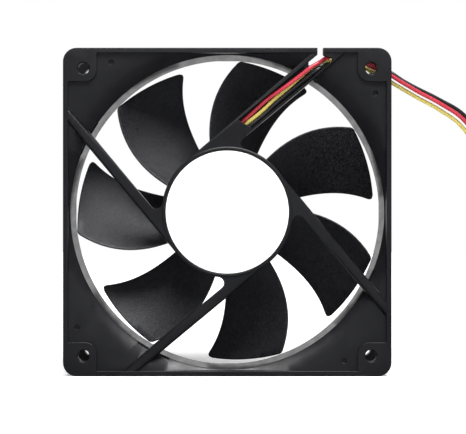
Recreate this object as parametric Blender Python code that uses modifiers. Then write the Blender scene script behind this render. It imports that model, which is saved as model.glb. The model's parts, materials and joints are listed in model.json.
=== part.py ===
"""A 120 mm case fan: a moulded frame with four struts, a seven-blade impeller and a two-bearing motor.

X points right, Z up and the rotor turns about Y. The exhaust side, with the struts, faces -Y and the intake
side faces +Y. The origin is the middle of the frame, on the rotor's axis, and the fan stands on its edge.
"""

import math

import bmesh
import bpy
from mathutils import Matrix, Vector

MM = 0.001

# Frame
SIZE = 120.0 * MM
DEPTH = 25.0 * MM
CORNER_RADIUS = 5.0 * MM
EXHAUST = -DEPTH / 2
INTAKE = DEPTH / 2
FLANGE = 3.5 * MM
BORE_RADIUS = 57.8 * MM
DUCT_RADIUS = 60.2 * MM
FLARE_RADIUS = 62.9 * MM
FLARE_DEPTH = 4.0 * MM
INTAKE_RADIUS = 61.0 * MM
RECESS = 1.0 * MM
RIM_INSIDE = 58.2 * MM
PAD_INSIDE = 47.7 * MM
PAD_ROUNDING = 4.3 * MM
HOLE_RADIUS = 2.15 * MM
HOLE_OFFSET = 52.5 * MM
NOTCH_ANGLES = (145.5, 158.3)
NOTCH_RADIUS = 58.5 * MM
NOTCH_DEPTH = 5.5 * MM

# Motor base and struts. A strut runs at a distance from the axis, pointing outward along its own direction.
BASE_RADIUS = 24.0 * MM
BASE_WALL = 1.4 * MM
BASE_END = -8.2 * MM
PLATE_INSIDE = -10.5 * MM
LABEL_RADIUS = 22.46 * MM
LABEL_FLOOR = EXHAUST + 0.5 * MM
STRUT_ANGLE = math.radians(129.7)
STRUT_TOP = EXHAUST + 0.2 * MM
STRUT_BACK = -7.8 * MM
STRUT_OUTSIDE = 23.97 * MM
STRUT_INSIDE = 20.12 * MM
STRUT_FILLET = 2.3 * MM
WIRE_STRUT_OUTSIDE = 24.95 * MM
WIRE_STRUT_INSIDE = 17.1 * MM
CHANNEL_OUTSIDE = 23.3 * MM
CHANNEL_INSIDE = 17.9 * MM
CHANNEL_FLOOR = -8.9 * MM
CHANNEL_START = 24.5 * MM

# Motor, from the base up the Y axis
SHAFT_RADIUS = 1.5 * MM
TUBE_RADIUS = 5.25 * MM
TUBE_BORE = 4.05 * MM
BEARING_RADIUS = 4.0 * MM
BEARING_WIDTH = 4.0 * MM
BEARINGS = {"lower": -7.9 * MM, "upper": 4.3 * MM}
BALLS = 6
BALL_RADIUS = 0.63 * MM
BALL_CIRCLE = 2.75 * MM
STATOR_RADIUS = 18.3 * MM
STACK = (-1.8 * MM, 4.2 * MM)
POLES = 4
ARM_WIDTH = 4.5 * MM
YOKE_RADIUS = 21.5 * MM

# Impeller
BLADES = 7
HUB_RADIUS = 22.8 * MM
HUB_WALL = 1.2 * MM
HUB_FACE = 11.5 * MM
HUB_END = -7.4 * MM
TIP_RADIUS = 56.0 * MM
BLADE_LEADING = 10.5 * MM
BLADE_TRAILING = -6.0 * MM
BLADE_THICKNESS = 1.3 * MM
TIP_ROUNDING = 2.2 * MM

# Lead: three wires to a plug, the spare length in a small coil on the floor
FLOOR = -SIZE / 2
WIRE_RADIUS = 0.75 * MM
COIL_CENTRE = Vector((113.0, 0.0, 0.0)) * MM
COIL_RADIUS = 10.5 * MM
COIL_WIDTH = 4.8 * MM
COIL_HEIGHT = 5.3 * MM
COIL_LIFT = 0.6 * MM
TIE_THICKNESS = 0.35 * MM
PLUG_START = 132.0 * MM
PLUG_SIZE = Vector((13.0, 7.6, 5.8)) * MM
PLUG_CENTRE_Y = -10.5 * MM
PIN_PITCH = 2.54 * MM
STEPS_BETWEEN = 24
WIRE_NAMES = ("red", "yellow", "black")

# Routes of the wires: along the strut (s, d, y) in the channel, and (x, y, z) from there on, in millimetres.
CHANNEL_ROUTES = {
    "red": [(3, 18.4, -9.4), (10, 19.7, -9.4), (18, 21.4, -9.5), (25, 21.95, -9.95), (30, 22.15, -10.2),
            (35, 22.4, -10.5), (39, 22.4, -10.8), (43, 22.0, -11.0), (47, 21.6, -11.2), (52, 21.35, -11.3),
            (57.5, 21.2, -11.25), (60.3, 20.8, -10.2), (62.5, 20.6, -8.9), (64.3, 20.4, -8.1)],
    "yellow": [(3, 16.6, -9.4), (10, 17.9, -9.4), (18, 19.7, -9.45), (25, 20.4, -9.72), (30, 20.4, -9.72),
               (34, 20.4, -9.72), (38, 20.75, -9.72), (42, 20.87, -9.72), (47, 20.9, -9.72), (52, 21.1, -9.72),
               (57.5, 21.15, -9.72), (60.3, 20.7, -8.5), (62.5, 20.1, -7.25), (64.3, 19.7, -6.2)],
    "black": [(3, 14.8, -9.4), (10, 16.1, -9.4), (18, 17.9, -9.45), (25, 18.82, -9.72), (30, 18.85, -9.72),
              (34, 18.85, -9.72), (38, 19.15, -9.72), (42, 19.25, -9.72), (50, 19.3, -9.72), (58.9, 19.1, -9.85),
              (61.2, 18.8, -7.7), (62.9, 18.7, -5.8), (64.3, 18.7, -4.3)],
}
POCKET_ROUTES = {
    "red": [(39.6, -8.1, 57.3), (46.2, -7.7, 57.3), (52.7, -7.0, 54.3), (57.4, -6.5, 52.4)],
    "yellow": [(40.0, -6.2, 55.9), (46.2, -5.6, 55.7), (52.5, -5.2, 52.7), (57.4, -5.0, 50.5)],
    "black": [(40.5, -3.6, 56.2), (46.5, -3.2, 57.8), (53.0, -3.6, 55.9), (57.4, -4.2, 53.6)],
}
LEAD_ROUTES = {
    "red": [(57.8, -6.45, 52.2), (61.0, -6.0, 50.3), (64.6, -5.7, 48.1), (67.8, -5.4, 46.3), (71.2, -5.0, 44.4),
            (79.0, -4.0, 40.4), (88.0, -2.2, 34.6), (95.6, 0.6, 24.5), (99.8, 4.6, 8.5), (101.6, 9.0, -11.0),
            (102.3, 12.8, -31.0), (102.6, 14.6, -46.0), (102.5, 13.8, -54.8), (102.5, 11.4, -58.2),
            (102.5, 8.9, -58.7)],
    "yellow": [(57.8, -4.95, 50.3), (61.2, -4.7, 48.0), (64.6, -4.4, 46.0), (67.8, -4.0, 44.2), (71.2, -3.6, 42.3),
               (79.0, -2.6, 38.2), (87.6, -0.8, 32.2), (94.4, 2.0, 22.2), (98.2, 6.0, 6.6), (100.0, 10.4, -12.2),
               (100.8, 14.0, -32.0), (101.1, 15.8, -47.0), (100.95, 14.8, -55.4), (100.95, 11.8, -58.3),
               (100.95, 7.4, -58.7)],
    "black": [(57.8, -4.25, 53.4), (61.2, -4.4, 51.5), (64.6, -4.3, 49.2), (67.8, -4.0, 47.4), (71.2, -3.6, 45.7),
              (79.0, -2.4, 42.0), (88.4, -0.6, 36.6), (96.6, 2.2, 26.6), (101.2, 6.2, 10.0), (103.2, 10.6, -10.0),
              (103.9, 14.2, -30.0), (104.2, 15.9, -45.0), (104.1, 15.2, -54.4), (104.05, 12.8, -58.1),
              (104.05, 10.3, -58.7)],
}
TAIL_ROUTES = {
    "red": [(121.8, -10.5, -55.2), (126.5, -10.5, -56.1), (131.7, -10.5, -57.0)],
    "yellow": [(120.0, -12.05, -55.2), (126.0, -12.5, -56.1), (131.7, -13.04, -57.0)],
    "black": [(123.3, -8.95, -55.2), (127.0, -8.5, -56.1), (131.7, -7.96, -57.0)],
}


def material(name, colour, roughness, metallic=0.0):
    """A Principled material in one colour."""
    made = bpy.data.materials.new(name)
    made.use_nodes = True
    shader = made.node_tree.nodes["Principled BSDF"]
    shader.inputs["Base Color"].default_value = (*colour, 1.0)
    shader.inputs["Roughness"].default_value = roughness
    shader.inputs["Metallic"].default_value = metallic
    return made


def clear_scene():
    for old in list(bpy.data.objects):
        bpy.data.objects.remove(old, do_unlink=True)


def collection(name):
    made = bpy.data.collections.new(name)
    bpy.context.scene.collection.children.link(made)
    return made


def add(name, data, finish=None, matrix=None):
    """An object in the part's collection, with its one material."""
    made = bpy.data.objects.new(name, data)
    PART.objects.link(made)
    if finish:
        data.materials.append(finish)
    if matrix:
        made.matrix_world = matrix
    return made


def as_tool(tool):
    """Moves a shape that cuts or joins another out of the part and into the tools."""
    PART.objects.unlink(tool)
    TOOLS.objects.link(tool)
    tool.hide_render = True
    tool.display_type = "WIRE"


def combine(target, operation, *tools, solver="EXACT"):
    """Adds a Boolean for each tool and puts the tools away."""
    for tool in tools:
        step = target.modifiers.new(f"{operation.title()} {tool.name}", "BOOLEAN")
        step.operation = operation
        step.object = tool
        step.solver = solver
        if tool.name not in TOOLS.objects:
            as_tool(tool)


def facing_exhaust(y=0.0):
    """Turns local XY into world XZ, so that a flat outline faces -Y at this depth."""
    return Matrix.Translation((0, y, 0)) @ Matrix.Rotation(math.pi / 2, 4, "X")


def smooth_shading(mesh, degrees=35):
    mesh.shade_smooth()
    mesh.set_sharp_from_angle(angle=math.radians(degrees))


def turned(name, profile, finish=None, steps=48):
    """A shape turned about Y from (radius, y) points. Ends on the axis leave the profile open there."""
    area = sum(a[0] * b[1] - b[0] * a[1] for a, b in zip(profile, profile[1:] + profile[:1]))
    points = profile if area > 0 else profile[::-1]
    mesh = bpy.data.meshes.new(name)
    edges = [(i, i + 1) for i in range(len(points) - 1)]
    if points[0][0] > 0 or points[-1][0] > 0:
        edges.append((len(points) - 1, 0))
    mesh.from_pydata([(radius, 0, -y) for radius, y in points], edges, [])
    made = add(name, mesh, finish, facing_exhaust())
    screw = made.modifiers.new("Turn", "SCREW")
    screw.axis = "Z"
    screw.steps = screw.render_steps = steps
    screw.use_merge_vertices = True
    screw.merge_threshold = 0.001 * MM
    screw.use_smooth_shade = True
    return made


def extruded(name, outlines, matrix, thickness, finish=None):
    """A flat outline, with holes where outlines nest, given a thickness about its own plane."""
    curve = bpy.data.curves.new(name, "CURVE")
    curve.dimensions = "2D"
    curve.fill_mode = "BOTH"
    curve.extrude = thickness / 2
    for outline in outlines:
        spline = curve.splines.new("POLY")
        spline.points.add(len(outline) - 1)
        for point, (x, y) in zip(spline.points, outline):
            point.co = (x, y, 0, 1)
        spline.use_cyclic_u = True
    guide = bpy.data.objects.new(name + "_outline", curve)
    PART.objects.link(guide)
    bpy.context.view_layer.update()
    graph = bpy.context.evaluated_depsgraph_get()
    mesh = bpy.data.meshes.new_from_object(guide.evaluated_get(graph))
    bpy.data.objects.remove(guide, do_unlink=True)
    solid = bmesh.new()
    solid.from_mesh(mesh)
    bmesh.ops.remove_doubles(solid, verts=solid.verts, dist=0.001 * MM)
    bmesh.ops.recalc_face_normals(solid, faces=solid.faces)
    solid.to_mesh(mesh)
    solid.free()
    mesh.name = name
    smooth_shading(mesh)
    return add(name, mesh, finish, matrix)


def slab(name, outlines, low, high, finish=None):
    """An outline in world X and Z, from one depth to another."""
    return extruded(name, outlines, facing_exhaust((low + high) / 2), high - low, finish)


def box(name, size, centre, finish=None, bevel=0.0):
    """A box with its edges bevelled."""
    mesh = bpy.data.meshes.new(name)
    solid = bmesh.new()
    bmesh.ops.create_cube(solid, size=1.0, matrix=Matrix.Diagonal((*size, 1.0)))
    if bevel:
        bmesh.ops.bevel(solid, geom=solid.edges[:], offset=bevel, segments=1, affect="EDGES")
    solid.to_mesh(mesh)
    solid.free()
    return add(name, mesh, finish, Matrix.Translation(centre))


def arc(radius, start, end, steps, centre=(0.0, 0.0)):
    """Points on an arc, in degrees, both ends included."""
    turns = [math.radians(start + (end - start) * i / steps) for i in range(steps + 1)]
    return [(centre[0] + radius * math.cos(t), centre[1] + radius * math.sin(t)) for t in turns]


def circle(radius, steps, centre=(0.0, 0.0)):
    return arc(radius, 0, 360 * (steps - 1) / steps, steps - 1, centre)


def rounded_rectangle(width, height, radius, steps=5):
    corners = [(1, 1, 0), (-1, 1, 90), (-1, -1, 180), (1, -1, 270)]
    points = []
    for x, y, start in corners:
        centre = (x * (width / 2 - radius), y * (height / 2 - radius))
        points += arc(radius, start, start + 90, steps, centre)
    return points


def rotated(points, degrees):
    turn = Matrix.Rotation(math.radians(degrees), 2)
    return [tuple(turn @ Vector(point)) for point in points]


def smooth_route(points, spacing):
    """Points at an even spacing along a smooth curve through a route's own points."""
    knots = [Vector(p) for p in points]
    ends = [2 * knots[0] - knots[1], *knots, 2 * knots[-1] - knots[-2]]
    fine = [knots[0]]
    for a, b, c, d in zip(ends, ends[1:], ends[2:], ends[3:]):
        for i in range(1, STEPS_BETWEEN + 1):
            t = i / STEPS_BETWEEN
            fine.append(0.5 * (2 * b + (c - a) * t + (2 * a - 5 * b + 4 * c - d) * t**2
                               + (3 * b - a - 3 * c + d) * t**3))
    lengths = [0.0]
    for a, b in zip(fine, fine[1:]):
        lengths.append(lengths[-1] + (b - a).length)
    count = max(2, round(lengths[-1] / spacing))
    even, at = [], 0
    for i in range(count + 1):
        wanted = lengths[-1] * i / count
        while at < len(fine) - 2 and lengths[at + 1] < wanted:
            at += 1
        share = (wanted - lengths[at]) / (lengths[at + 1] - lengths[at])
        even.append(fine[at].lerp(fine[at + 1], share))
    return even


def tube(name, points, radius, finish, resolution=2):
    """A round wire along its points, with closed ends."""
    curve = bpy.data.curves.new(name, "CURVE")
    curve.dimensions = "3D"
    curve.bevel_depth = radius
    curve.bevel_resolution = resolution
    curve.use_fill_caps = True
    spline = curve.splines.new("POLY")
    spline.points.add(len(points) - 1)
    for point, place in zip(spline.points, points):
        point.co = (*place, 1)
    return add(name, curve, finish)


def along_strut(s, d, turn=0):
    """World X and Z of a point s along a strut and d from the axis. Each turn is a quarter clockwise."""
    out = STRUT_ANGLE - turn * math.pi / 2
    return (s * math.cos(out) - d * math.sin(out), s * math.sin(out) + d * math.cos(out))


# Frame

def strut_outline(outside, inside, turn):
    """A strut's plan: tangent to the motor base outside, with a fillet inside, and cut off in the rim."""
    hub = BASE_RADIUS - BASE_WALL / 2
    centre_d = inside - STRUT_FILLET
    centre_s = math.sqrt((BASE_RADIUS + STRUT_FILLET) ** 2 - centre_d**2)
    touch = math.degrees(math.atan2(centre_d, centre_s))
    fillet = arc(STRUT_FILLET, 90, 180 + touch, 4, (centre_s, centre_d))
    inner = arc(hub, touch, 90, 4)
    reach = SIZE / 2 - 0.6 * MM
    slope = abs(math.cos(STRUT_ANGLE))
    ends = [((reach - d * math.sin(STRUT_ANGLE)) / slope, d) for d in (outside, inside)]
    plan = [(0.0, STRUT_OUTSIDE), ends[0], ends[1], *fillet, *inner]
    return [along_strut(s, d, turn) for s, d in plan]


def is_long_corner(edge, height):
    """Whether an edge is a long corner between two faces, at this local height."""
    at_height = all(abs(height - vertex.co.z) < 0.01 * MM for vertex in edge.verts)
    return at_height and edge.calc_length() > 20 * MM and edge.calc_face_angle(0.0) > 0.5


def round_top(strut, width):
    """Rounds the two long edges of a strut that face the exhaust side."""
    mesh = strut.data
    solid = bmesh.new()
    solid.from_mesh(mesh)
    top = max(vertex.co.z for vertex in solid.verts)
    long = [edge for edge in solid.edges if is_long_corner(edge, top)]
    bmesh.ops.bevel(solid, geom=long, offset=width, segments=2, profile=0.5, affect="EDGES")
    solid.to_mesh(mesh)
    solid.free()


def struts():
    """Three plain struts and the wider one that carries the wires."""
    made = []
    for turn in (0, 2, 3):
        outline = strut_outline(STRUT_OUTSIDE, STRUT_INSIDE, turn)
        strut = slab(f"strut_{turn}", [outline], STRUT_TOP, STRUT_BACK)
        round_top(strut, 1.3 * MM)
        made.append(strut)
    outline = strut_outline(WIRE_STRUT_OUTSIDE, WIRE_STRUT_INSIDE, 1)
    made.append(slab("wire_strut", [outline], STRUT_TOP, STRUT_BACK))
    return made


def motor_base():
    """The cup behind the label, with a boss for the bearing tube."""
    inside = BASE_RADIUS - BASE_WALL
    boss = TUBE_RADIUS + 1.0 * MM
    seat = TUBE_RADIUS + 0.1 * MM
    return turned("motor_base", [
        (4.6 * MM, LABEL_FLOOR), (LABEL_RADIUS + 0.24 * MM, LABEL_FLOOR), (LABEL_RADIUS + 0.24 * MM, EXHAUST),
        (BASE_RADIUS - 0.5 * MM, EXHAUST), (BASE_RADIUS, EXHAUST + 0.5 * MM), (BASE_RADIUS, BASE_END),
        (inside, BASE_END), (inside, PLATE_INSIDE), (boss, PLATE_INSIDE), (boss, -6.5 * MM),
        (seat, -6.5 * MM), (seat, PLATE_INSIDE), (4.6 * MM, PLATE_INSIDE),
    ], steps=36)


def corner_recess():
    """The shallow recess inside the rim, which leaves a raised pad at each corner."""
    corner = [(RIM_INSIDE, PAD_INSIDE)]
    middle = PAD_INSIDE + PAD_ROUNDING
    corner += arc(PAD_ROUNDING, 270, 180, 4, (middle, middle))
    corner.append((PAD_INSIDE, RIM_INSIDE))
    outline = [point for turn in range(4) for point in rotated(corner, 90 * turn)]
    return slab("corner_recess", [outline], EXHAUST - 1 * MM, EXHAUST + RECESS)


def duct_opening():
    """The round way through, flared at both ends and kept inside the rim."""
    over = 1.0 * MM
    slope = (FLARE_RADIUS - BORE_RADIUS) / (FLARE_DEPTH - RECESS)
    opening = turned("duct_opening", [
        (0, EXHAUST - over), (FLARE_RADIUS + slope * (RECESS + over), EXHAUST - over),
        (BORE_RADIUS, EXHAUST + FLARE_DEPTH), (BORE_RADIUS, INTAKE - FLARE_DEPTH),
        (INTAKE_RADIUS, INTAKE + over), (0, INTAKE + over),
    ], steps=72)
    inside = 2 * RIM_INSIDE - 0.1 * MM
    limit = box("rim_limit", (inside, DEPTH + 10 * MM, inside), (0, 0, 0))
    combine(opening, "INTERSECT", limit)
    return opening


def strut_notches():
    """The relief in the flare on both sides of each strut's foot."""
    made = []
    for turn in range(4):
        start, end = (angle - 90 * turn for angle in NOTCH_ANGLES)
        outline = arc(NOTCH_RADIUS, start, end, 3) + arc(BORE_RADIUS - 1 * MM, end, start, 3)
        made.append(slab(f"notch_{turn}", [outline], EXHAUST - 1 * MM, EXHAUST + NOTCH_DEPTH))
    return made


def between_flanges():
    """The open space around the duct, which leaves two flanges."""
    outlines = [rounded_rectangle(SIZE + 10 * MM, SIZE + 10 * MM, 1 * MM, 1), circle(DUCT_RADIUS, 72)]
    return slab("between_flanges", outlines, EXHAUST + FLANGE, INTAKE - FLANGE)


def screw_holes():
    made = []
    for turn in range(4):
        centre = rotated([(HOLE_OFFSET, HOLE_OFFSET)], 90 * turn)[0]
        made.append(slab(f"screw_hole_{turn}", [circle(HOLE_RADIUS, 12, centre)], EXHAUST - 1 * MM, INTAKE + 1 * MM))
    return made


def wire_ways():
    """The channel along the wire strut, its way into the motor base and the slit in the flanges."""
    sides = [along_strut(CHANNEL_START, CHANNEL_OUTSIDE, 1), along_strut(62 * MM, CHANNEL_OUTSIDE, 1)]
    corner = [(35.05 * MM, 57.5 * MM), (38.3 * MM, 56.2 * MM)]
    back = [along_strut(65 * MM, CHANNEL_INSIDE, 1), along_strut(CHANNEL_START + 2 * MM, CHANNEL_INSIDE, 1)]
    channel = slab("channel", [sides + corner + back], EXHAUST - 1 * MM, CHANNEL_FLOOR)
    ends = [(s, d) for s, d in (
        (8 * MM, CHANNEL_OUTSIDE), (27 * MM, CHANNEL_OUTSIDE), (27 * MM, CHANNEL_INSIDE), (8 * MM, 14 * MM),
    )]
    tunnel = slab("tunnel", [[along_strut(s, d, 1) for s, d in ends]], PLATE_INSIDE - 0.2 * MM, -8.55 * MM)
    slit = slab("slit", [[(32.95 * MM, 62 * MM), (32.95 * MM, 57.2 * MM), (30.4 * MM, 54.7 * MM),
                          (37.0 * MM, 55.6 * MM), (35.05 * MM, 57.7 * MM), (35.05 * MM, 62 * MM)]],
                EXHAUST - 1 * MM, EXHAUST + FLANGE + 0.5 * MM)
    rear = slab("rear_slit", [[(31.0 * MM, 62 * MM), (31.0 * MM, 56.2 * MM), (38.5 * MM, 56.2 * MM),
                               (38.5 * MM, 62 * MM)]], INTAKE - FLANGE - 0.5 * MM, INTAKE + 1 * MM)
    return channel, tunnel, slit, rear


def frame(plastic):
    """The whole moulding: two flanges, the duct, the struts and the motor base."""
    outline = rounded_rectangle(SIZE, SIZE, CORNER_RADIUS)
    made = slab("frame", [outline], EXHAUST, INTAKE, plastic)
    combine(made, "DIFFERENCE", duct_opening(), corner_recess(), *strut_notches(), solver="MANIFOLD")
    combine(made, "UNION", motor_base(), *struts(), solver="MANIFOLD")
    combine(made, "DIFFERENCE", between_flanges(), *screw_holes(), *wire_ways(), solver="MANIFOLD")
    return made


# Rotor

def between(root, middle, tip, radius):
    """A quadratic through three (radius, angle) pairs."""
    total = 0.0
    for own in (root, middle, tip):
        others = [pair for pair in (root, middle, tip) if pair is not own]
        weight = math.prod((radius - other[0]) / (own[0] - other[0]) for other in others)
        total += own[1] * weight
    return total


def leading_angle(radius):
    return between((26.1 * MM, 11.6), (41.8 * MM, 10.1), (54.3 * MM, 5.2), radius)


def trailing_angle(radius):
    return between((25.3 * MM, 52.9), (40.5 * MM, 45.8), (55.7 * MM, 34.1), radius)


def blade_point(radius, chord, turn):
    """A point on a blade's middle surface: chord runs from 0, the leading edge, to 1, the trailing edge."""
    start, end = leading_angle(radius), trailing_angle(radius)
    bend = 2 * chord * (1 - chord)
    angle = start * (1 - chord) ** 2 + end * chord**2 + bend * (start + 0.60 * (end - start))
    y = BLADE_LEADING * (1 - chord) ** 2 + BLADE_TRAILING * chord**2
    y += bend * (BLADE_LEADING + 0.36 * (BLADE_TRAILING - BLADE_LEADING))
    angle = math.radians(angle) + turn
    return (radius * math.cos(angle), y, radius * math.sin(angle))


def tip_at(chord):
    """The blade's outer edge, rounded off at the leading corner."""
    share = min(chord / 0.07, 1.0)
    return TIP_RADIUS - TIP_ROUNDING * (1 - math.sqrt(1 - (1 - share) ** 2))


def blade(number):
    """One blade as a curved sheet with a thickness."""
    turn = number * math.tau / BLADES
    chords = (0.0, 0.02, 0.07, 0.35, 0.67, 1.0)
    rows = 5
    root = HUB_RADIUS - HUB_WALL / 2
    points = [
        blade_point(root + (tip_at(chord) - root) * row / (rows - 1), chord, turn)
        for row in range(rows) for chord in chords
    ]
    wide = len(chords)
    faces = [
        (row * wide + i, row * wide + i + 1, (row + 1) * wide + i + 1, (row + 1) * wide + i)
        for row in range(rows - 1) for i in range(wide - 1)
    ]
    mesh = bpy.data.meshes.new(f"blade_{number}")
    mesh.from_pydata(points, [], faces)
    made = add(f"blade_{number}", mesh)
    shell = made.modifiers.new("Thickness", "SOLIDIFY")
    shell.thickness = BLADE_THICKNESS
    shell.offset = 0.0
    return made


def impeller(plastic):
    """The hub and its seven blades, in one moulding."""
    inside = HUB_RADIUS - HUB_WALL
    hub = turned("impeller", [
        (0, HUB_FACE), (HUB_RADIUS - 1.6 * MM, HUB_FACE), (HUB_RADIUS - 0.5 * MM, HUB_FACE - 0.5 * MM),
        (HUB_RADIUS, HUB_FACE - 1.6 * MM), (HUB_RADIUS, HUB_END), (inside, HUB_END),
        (inside, 10.08 * MM), (0, 10.08 * MM),
    ], plastic, steps=36)
    combine(hub, "UNION", *[blade(number) for number in range(BLADES)])
    return hub


def rotor(finishes):
    """What turns with the impeller: yoke, magnet, shaft and the pieces on the shaft."""
    yoke_inside = YOKE_RADIUS - 0.8 * MM
    turned("rotor_yoke", [
        (3.3 * MM, 10.0 * MM), (YOKE_RADIUS - 0.6 * MM, 10.0 * MM), (YOKE_RADIUS, 9.4 * MM), (YOKE_RADIUS, -5.9 * MM),
        (yoke_inside, -5.9 * MM), (yoke_inside, 9.2 * MM), (3.3 * MM, 9.2 * MM),
    ], finishes["steel"], steps=36)
    ring("ring_magnet", 18.9 * MM, yoke_inside - 0.1 * MM, -4.5 * MM, 6.9 * MM, finishes["magnet"], 36)
    turned("shaft", [
        (0, -11.3 * MM), (1.3 * MM, -11.3 * MM), (SHAFT_RADIUS, -11.1 * MM), (SHAFT_RADIUS, -10.65 * MM),
        (1.2 * MM, -10.65 * MM), (1.2 * MM, -10.15 * MM), (SHAFT_RADIUS, -10.15 * MM), (SHAFT_RADIUS, 9.9 * MM),
        (1.2 * MM, 10.03 * MM), (0, 10.03 * MM),
    ], finishes["shaft_steel"], steps=20)
    ring("shaft_bush", SHAFT_RADIUS + 0.03 * MM, 3.2 * MM, 7.2 * MM, 10.03 * MM, finishes["brass"], 20)
    ring("lower_washer", SHAFT_RADIUS + 0.06 * MM, 2.3 * MM, -10.1 * MM, -9.95 * MM, finishes["nylon"], 20)
    ring("upper_spacer", SHAFT_RADIUS + 0.06 * MM, 2.3 * MM, 6.35 * MM, 7.15 * MM, finishes["brass"], 20)
    clip = arc(2.9 * MM, 30, 330, 14) + arc(1.25 * MM, 320, 40, 10)
    slab("retaining_clip", [clip], -10.55 * MM, -10.25 * MM, finishes["shaft_steel"])


def ring(name, inside, outside, low, high, finish, steps):
    """A plain ring about the rotor's axis."""
    return turned(name, [(inside, low), (outside, low), (outside, high), (inside, high)], finish, steps)


def groove(radius, middle, side):
    """The ball track in a race: side is 1 when the race lies outside the balls."""
    reach = BALL_RADIUS + 0.09 * MM
    half = math.sqrt(reach**2 - (radius - BALL_CIRCLE) ** 2)
    lean = math.asin(half / reach)
    angles = [lean * (1 - i * 2 / 3) for i in range(4)]
    return [(BALL_CIRCLE + side * reach * math.cos(a), middle + reach * math.sin(a)) for a in angles]


def bearing(where, middle, outward, finishes):
    """A 3 by 8 by 4 mm ball bearing with a shield on its outer face."""
    low, high = middle - BEARING_WIDTH / 2, middle + BEARING_WIDTH / 2
    track = groove(3.2 * MM, middle, 1)
    turned(f"{where}_outer_race", [(3.2 * MM, low), (BEARING_RADIUS, low), (BEARING_RADIUS, high),
                                   (3.2 * MM, high), *track], finishes["bearing_steel"], 20)
    inside = SHAFT_RADIUS + 0.03 * MM
    track = groove(2.3 * MM, middle, -1)
    turned(f"{where}_inner_race", [(inside, low), (inside, high), (2.3 * MM, high), *track, (2.3 * MM, low)],
           finishes["bearing_steel"], 20)
    cage = ring(f"{where}_cage", 2.5 * MM, 3.0 * MM, middle - 0.5 * MM, middle + 1.1 * MM, finishes["brass"], 20)
    for number in range(BALLS):
        angle = math.tau * number / BALLS
        centre = (BALL_CIRCLE * math.cos(angle), middle, BALL_CIRCLE * math.sin(angle))
        ball(f"{where}_ball_{number + 1}", centre, finishes["ball_steel"])
        pocket = circle(BALL_RADIUS + 0.08 * MM, 8, (centre[0], centre[2]))
        combine(cage, "DIFFERENCE", slab(f"{where}_pocket_{number + 1}", [pocket],
                                         middle - 1 * MM, middle + 0.72 * MM))
    face = middle + outward * (BEARING_WIDTH / 2 - 0.25 * MM)
    ring(f"{where}_shield", 2.4 * MM, 3.15 * MM, face - 0.1 * MM, face + 0.1 * MM, finishes["shaft_steel"], 20)


def ball(name, centre, finish):
    mesh = bpy.data.meshes.new(name)
    solid = bmesh.new()
    bmesh.ops.create_uvsphere(solid, u_segments=8, v_segments=4, radius=BALL_RADIUS)
    solid.to_mesh(mesh)
    solid.free()
    mesh.shade_smooth()
    return add(name, mesh, finish, Matrix.Translation(centre))


# Stator

def pole_outline(width, shoe, inside):
    """The cross of four arms, each ending in a curved pole shoe."""
    points = []
    reach = math.degrees(math.asin(width / 2 / (shoe - 1.7 * MM)))
    root = math.degrees(math.asin(width / 2 / inside))
    for pole in range(POLES):
        turn = 360 / POLES * pole
        points += arc(shoe, turn - 37, turn + 37, 6)
        points += arc(shoe - 1.2 * MM, turn + 37, turn + 36, 1)
        points += arc(shoe - 1.7 * MM, turn + 28, turn + reach, 2)
        points += arc(inside, turn + root, turn + 90 - root, 2)
        points += arc(shoe - 1.7 * MM, turn + 90 - reach, turn + 62, 2)
        points += arc(shoe - 1.2 * MM, turn + 54, turn + 53, 1)
    return points


def stator(finishes):
    """Laminated core, two insulators and four coils around the bearing tube."""
    hole = circle(TUBE_RADIUS + 0.2 * MM, 20)
    slab("stator_core", [pole_outline(ARM_WIDTH, STATOR_RADIUS, 8.2 * MM), hole], *STACK, finishes["lamination"])
    cover = [pole_outline(ARM_WIDTH + 0.4 * MM, STATOR_RADIUS - 0.6 * MM, 8.6 * MM), hole]
    low, high = STACK[0] - 0.05 * MM, STACK[1] + 0.05 * MM
    slab("lower_insulator", cover, low - 1.2 * MM, low, finishes["insulator"])
    slab("upper_insulator", cover, high, high + 1.2 * MM, finishes["insulator"])
    middle = (low + high) / 2
    tall = high - low + 2.6 * MM
    wide = ARM_WIDTH + 0.7 * MM
    outside = rounded_rectangle(wide + 3.6 * MM, tall + 3.6 * MM, 1.6 * MM, 3)
    winding = [outside, rounded_rectangle(wide, tall, 0.2 * MM, 1)]
    for number in range(POLES):
        side = Matrix.Rotation(-number * math.tau / POLES, 4, "Y")
        place = side @ Matrix.Translation((11.9 * MM, middle, 0)) @ Matrix.Rotation(math.pi / 2, 4, "Z")
        place = place @ Matrix.Rotation(math.pi / 2, 4, "X")
        place = place @ Matrix.Rotation(math.pi / 2, 4, "Z")
        extruded(f"coil_{number + 1}", winding, place, 5.6 * MM, finishes["copper"])


def tube_and_spring(finishes):
    """The brass tube that holds both bearings, with a rib under the spring that loads the upper one."""
    rib = (-5.8 * MM, -3.3 * MM)
    turned("bearing_tube", [
        (TUBE_BORE, PLATE_INSIDE + 0.05 * MM), (TUBE_RADIUS, PLATE_INSIDE + 0.05 * MM), (TUBE_RADIUS, 6.5 * MM),
        (TUBE_BORE, 6.5 * MM), (TUBE_BORE, rib[1]), (3.3 * MM, rib[1]), (3.3 * MM, rib[0]), (TUBE_BORE, rib[0]),
    ], finishes["brass"], steps=20)
    turns, steps = 3.0, 30
    low, high = -3.0 * MM, 1.95 * MM
    coil = []
    for i in range(steps + 1):
        angle = math.tau * turns * i / steps
        coil.append((3.55 * MM * math.cos(angle), low + (high - low) * i / steps, 3.55 * MM * math.sin(angle)))
    tube("preload_spring", coil, 0.2 * MM, finishes["shaft_steel"], resolution=1)


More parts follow.
